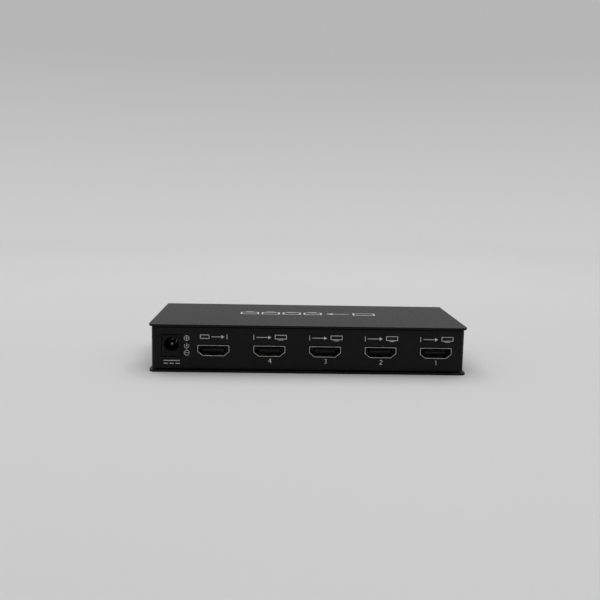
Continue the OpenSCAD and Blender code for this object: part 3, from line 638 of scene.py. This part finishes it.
def ring(x, y, radius, width, keep=lambda angle: True):
    """Draws a ring of ink, or the stretch of it whose angle from +X meets a rule."""
    centre = Vector((x * mm, y * mm, 0))
    bpy.ops.mesh.select_mode(type="EDGE")
    bpy.ops.mesh.primitive_circle_add(vertices=48, radius=radius * mm)
    bpy.ops.transform.translate(value=centre)
    bpy.ops.mesh.extrude_region_move()
    inner = (radius - width) / radius
    bpy.ops.transform.resize(value=(inner, inner, 1), center_override=centre)
    reach = (radius + width) * mm

    def cut(middle):
        out = middle - centre
        return out.length < reach and not keep(math.degrees(math.atan2(out.y, out.x)))

    pick("faces", cut)
    bpy.ops.mesh.delete(type="FACE")


def dot(x, y, radius):
    """Draws a filled spot."""
    bpy.ops.mesh.primitive_circle_add(vertices=24, radius=radius * mm, fill_type="NGON")
    bpy.ops.transform.translate(value=(x * mm, y * mm, 0))


def arrow(x0, x1, y, width, head_l, head_w):
    """Draws an arrow along +X: a shaft and a three-cornered head."""
    bar(x0, y - width / 2, x1 - head_l, y + width / 2)
    triangle_l = 1.5
    triangle_w = math.sqrt(3)
    bpy.ops.mesh.primitive_circle_add(vertices=3, radius=mm, fill_type="NGON", rotation=(0, 0, -math.pi / 2))
    bpy.ops.transform.resize(value=(head_l / triangle_l, head_w / triangle_w, 1), center_override=(0, 0, 0))
    bpy.ops.transform.translate(value=((x1 - head_l / triangle_l) * mm, y * mm, 0))


def frame_of(x0, y0, x1, y1, width):
    """Draws the outline of a rectangle, as a bar with its middle taken out."""
    bpy.ops.mesh.select_mode(type="FACE")
    bar(x0, y0, x1, y1)
    bpy.ops.mesh.inset(thickness=width * mm)
    bpy.ops.mesh.delete(type="FACE")


def lay_ink(name, turn, place):
    """Thickens the open drawing to the ink's depth and lays it on a face of the case."""
    drawing = bpy.context.object
    if drawing.mode != "EDIT":
        bpy.ops.object.mode_set(mode="EDIT")
    bpy.ops.mesh.select_all(action="SELECT")
    bpy.ops.mesh.remove_doubles(threshold=join_gap)
    bpy.ops.mesh.dissolve_degenerate(threshold=join_gap)
    bpy.ops.mesh.select_all(action="DESELECT")
    mesh = bmesh.from_edit_mesh(drawing.data)
    mesh.normal_update()
    for face in mesh.faces:
        face.select_set(face.normal.z < 0)
    bmesh.update_edit_mesh(drawing.data)
    bpy.ops.mesh.flip_normals()
    bpy.ops.object.mode_set(mode="OBJECT")
    thick = drawing.modifiers.new("ink_depth", "SOLIDIFY")
    thick.thickness = ink_t
    thick.offset = 1
    bpy.ops.object.modifier_apply(modifier=thick.name)
    drawing.data.transform(Matrix.Translation((0, 0, -ink_sunk)))
    drawing.rotation_euler = turn
    drawing.location = place
    bpy.ops.object.transform_apply(location=True, rotation=True, scale=True)
    drawing.name = name
    drawing.data.name = name
    drawing.data.materials.clear()
    drawing.data.materials.append(ink)
    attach(drawing, "box")


font_stem = 0.098
font_h = 0.69
font_steps = 6
flag_l = 1.6
flag_drop = 1.2
two_r = 0.3
two_arc = (-37.5, 165)
four_w = 0.65
four_stem = 0.215
four_cross = -0.165


def draw_one(height, stem):
    """Draws the figure 1: a stem with a slanted flag."""
    neck = height / 2 - stem
    start_drawing()
    bar(-stem / 2, -height / 2, stem / 2, neck)
    bar(-stem / 2, neck, stem / 2, height / 2)
    pick("edges", lambda middle: middle.x < -stem / 2 * mm + slack and middle.y > neck * mm)
    flag = (-flag_l * stem * mm, -flag_drop * stem * mm, 0)
    bpy.ops.mesh.extrude_edges_move(TRANSFORM_OT_translate={"value": flag})


def join_ends(*ends):
    """Fills the gap between two open edges, given by their middles in millimetres."""
    bpy.ops.mesh.select_all(action="SELECT")
    bpy.ops.mesh.remove_doubles(threshold=join_gap)
    places = [Vector((x, y, 0)) * mm for x, y in ends]
    pick("edges", lambda middle: min((middle - place).length for place in places) < slack)
    bpy.ops.mesh.edge_face_add()


def draw_two(height, stem):
    """Draws the figure 2: an arc, a slanted stroke and a base."""
    radius = two_r * height
    arc_y = height / 2 - radius
    arc_end = math.radians(two_arc[0])
    end_x = (radius - stem / 2) * math.cos(arc_end)
    end_y = arc_y + (radius - stem / 2) * math.sin(arc_end)
    base_top = stem - height / 2
    foot = stem * math.hypot(end_x + radius, end_y - base_top) / (end_y - base_top) - radius
    start_drawing()
    ring(0, arc_y, radius, stem, lambda angle: two_arc[0] < angle < two_arc[1])
    bar(-radius, -height / 2, foot, base_top)
    bar(foot, -height / 2, radius, base_top)
    join_ends((end_x, end_y), ((foot - radius) / 2, base_top))


def draw_four(height, stem):
    """Draws the figure 4: a stem, a cross stroke and the slanted stroke that joins their ends."""
    top = height / 2
    right = four_w * height / 2
    left = -right
    stem_right = four_stem * height
    stem_left = stem_right - stem
    low = four_cross * height
    high = low + stem
    slant = math.hypot(stem_left - left, top - high)
    foot = left + stem * slant / (top - high)
    neck = top - stem * slant / (stem_left - left)
    start_drawing()
    crossings = (left, foot, stem_left, stem_right, right)
    for x0, x1 in zip(crossings, crossings[1:]):
        bar(x0, low, x1, high)
    for y0, y1 in ((-top, low), (high, neck), (neck, top)):
        bar(stem_left, y0, stem_right, y1)
    join_ends((stem_left, (neck + top) / 2), ((left + foot) / 2, high))


def print_number(number, height, stem, name, turn, place):
    """Prints a plain number of a given height and stem, its middle at its place."""
    strokes = {1: draw_one, 2: draw_two, 4: draw_four}
    if number in strokes:
        strokes[number](height, stem)
    else:
        share = stem / height
        deselect()
        bpy.ops.object.text_add()
        drawing = bpy.context.object
        drawing.data.body = str(number)
        drawing.data.offset = (share * font_h - font_stem) / (1 - share) / 2
        drawing.data.resolution_u = font_steps
        bpy.ops.object.convert(target="MESH")
        xs = [v.co.x for v in drawing.data.vertices]
        ys = [v.co.y for v in drawing.data.vertices]
        scale = height * mm / (max(ys) - min(ys))
        middle = Vector((max(xs) + min(xs), max(ys) + min(ys), 0)) / 2
        drawing.data.transform(Matrix.Scale(scale, 4) @ Matrix.Translation(-middle))
        bpy.ops.object.mode_set(mode="EDIT")
        bpy.ops.mesh.select_all(action="SELECT")
        bpy.ops.mesh.dissolve_limited(angle_limit=flat_angle)
    lay_ink(name, turn, place)


panel_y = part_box("inner_frame")[0].y
lamp_face_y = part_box("outer_wrap")[1].y
top_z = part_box("outer_wrap")[1].z

# The marks over the sockets: a box and an arrow to the wall, or the wall and an arrow to a screen.
line_w = 0.26
box_w = 4.2
box_h = 1.9
screen_w = 5.4
screen_h = 2.0
screen_rise = 0.25
stand_in = 1.5
stand_drop = 0.22
wall_h = 2.3
head_l = 1.4
head_w = 1.6
in_left = -6.4
in_arrow_l = 5.8
out_left = -7.6
out_arrow_l = 6.8
mark_gap = 1.05
screen_gap = 1.6
mark_shift = 0.35 * mm
way_row_z = 16.35 * mm
panel_number_h = 2.15
panel_stem = 0.24
panel_number_z = 5.5 * mm
for socket in sockets:
    mark_x = middle_x(socket + "_shell") + mark_shift
    start_drawing()
    if socket == "video_in":
        x = in_left
        frame_of(x, -box_h / 2, x + box_w, box_h / 2, line_w)
        x += box_w + mark_gap
        arrow(x, x + in_arrow_l, 0, line_w, head_l, head_w)
        x += in_arrow_l + mark_gap
        bar(x, -wall_h / 2, x + line_w, wall_h / 2)
    else:
        x = out_left
        bar(x, -wall_h / 2, x + line_w, wall_h / 2)
        x += line_w + mark_gap
        arrow(x, x + out_arrow_l, 0, line_w, head_l, head_w)
        x += out_arrow_l + screen_gap
        screen_low = screen_rise - screen_h / 2
        frame_of(x, screen_low, x + screen_w, screen_low + screen_h, line_w)
        stand_top = screen_low - stand_drop
        bar(x + stand_in, stand_top - line_w, x + screen_w - stand_in, stand_top)
    lay_ink(socket + "_mark", on_panel, (mark_x, panel_y, way_row_z))
    if socket != "video_in":
        place = (mark_x, panel_y, panel_number_z)
        print_number(int(socket[-1]), panel_number_h, panel_stem, socket + "_number", on_panel, place)

# The jack's polarity: a plus, a cup open above with the pin's dot in it, and a minus joined to the cup.
fine_w = 0.18
sign_r = 1.22
plus_y = 3.5
minus_y = -3.3
cup_ring_r = 1.14
cup_open = (40, 140)
pin_dot_r = 0.34
pin_line = (0.3, 1.3)
polarity_x = -55.4 * mm
polarity_z = 12.1 * mm
half = fine_w / 2
arm = sign_r - fine_w
start_drawing()
ring(0, plus_y, sign_r, fine_w)
bar(-arm, plus_y - half, arm, plus_y + half)
bar(-half, plus_y + half, half, plus_y + arm)
bar(-half, plus_y - arm, half, plus_y - half)
ring(0, 0, cup_ring_r, fine_w, lambda angle: not cup_open[0] < angle < cup_open[1])
dot(0, 0, pin_dot_r)
bar(-half, pin_line[0], half, pin_line[1])
bar(-half, minus_y + sign_r, half, -cup_ring_r)
ring(0, minus_y, sign_r, fine_w)
bar(-arm, minus_y - half, arm, minus_y + half)
lay_ink("polarity_mark", on_panel, (polarity_x, panel_y, polarity_z))

# Direct current: one long line over three dashes, below the jack.
current_w = 7.2
current_line = 0.32
current_gap = 1.0
dash_l = 1.9
current_z = 4.5 * mm
start_drawing()
bar(-current_w / 2, current_gap / 2, current_w / 2, current_gap / 2 + current_line)
for dash in range(3):
    x = -current_w / 2 + dash * (current_w - dash_l) / 2
    bar(x, -current_gap / 2 - current_line, x + dash_l, -current_gap / 2)
lay_ink("direct_current_mark", on_panel, (middle_x("power_jack_body"), panel_y, current_z))

# The lamp face: a number under each status lamp and the common power sign under the red one.
lamp_number_h = 2.4
lamp_stem = 0.33
lamp_number_drop = 5.4 * mm
power_r = 1.4
power_line = 0.34
power_open = (55, 125)
power_bar = (0.3, 1.75)
power_mark_drop = 5.8 * mm
for number, lamp in enumerate(status_lamps, 1):
    axis_x, axis_z = lamp_axis(lamp)
    place = (axis_x, lamp_face_y, axis_z - lamp_number_drop)
    print_number(number, lamp_number_h, lamp_stem, lamp + "_number", on_lamp_face, place)
axis_x, axis_z = lamp_axis("power_lamp")
start_drawing()
ring(0, 0, power_r, power_line, lambda angle: not power_open[0] < angle < power_open[1])
bar(-power_line / 2, power_bar[0], power_line / 2, power_bar[1])
lay_ink("power_mark", on_lamp_face, (axis_x, lamp_face_y, axis_z - power_mark_drop))

# The top plate: one box, an arrow and four screens.
top_line = 0.8
top_box = (-34, -23)
top_arrow = (-21, -9.6)
top_shaft = 0.9
top_head_l = 3.4
top_head_w = 4
top_screen_w = 9
top_screen_h = 6
top_screens = -7.6
top_screen_gap = 1.4
top_stand_in = 2.4
top_stand_drop = 0.9
top_mark_y = 2 * mm
start_drawing()
frame_of(top_box[0], -top_screen_h / 2, top_box[1], top_screen_h / 2, top_line)
arrow(*top_arrow, 0, top_shaft, top_head_l, top_head_w)
for screen in range(4):
    x = top_screens + screen * (top_screen_w + top_screen_gap)
    frame_of(x, -top_screen_h / 2, x + top_screen_w, top_screen_h / 2, top_line)
    stand_top = -top_screen_h / 2 - top_stand_drop
    bar(x + top_stand_in, stand_top - top_line, x + top_screen_w - top_stand_in, stand_top)
lay_ink("split_mark", on_top, (0, top_mark_y, top_z))
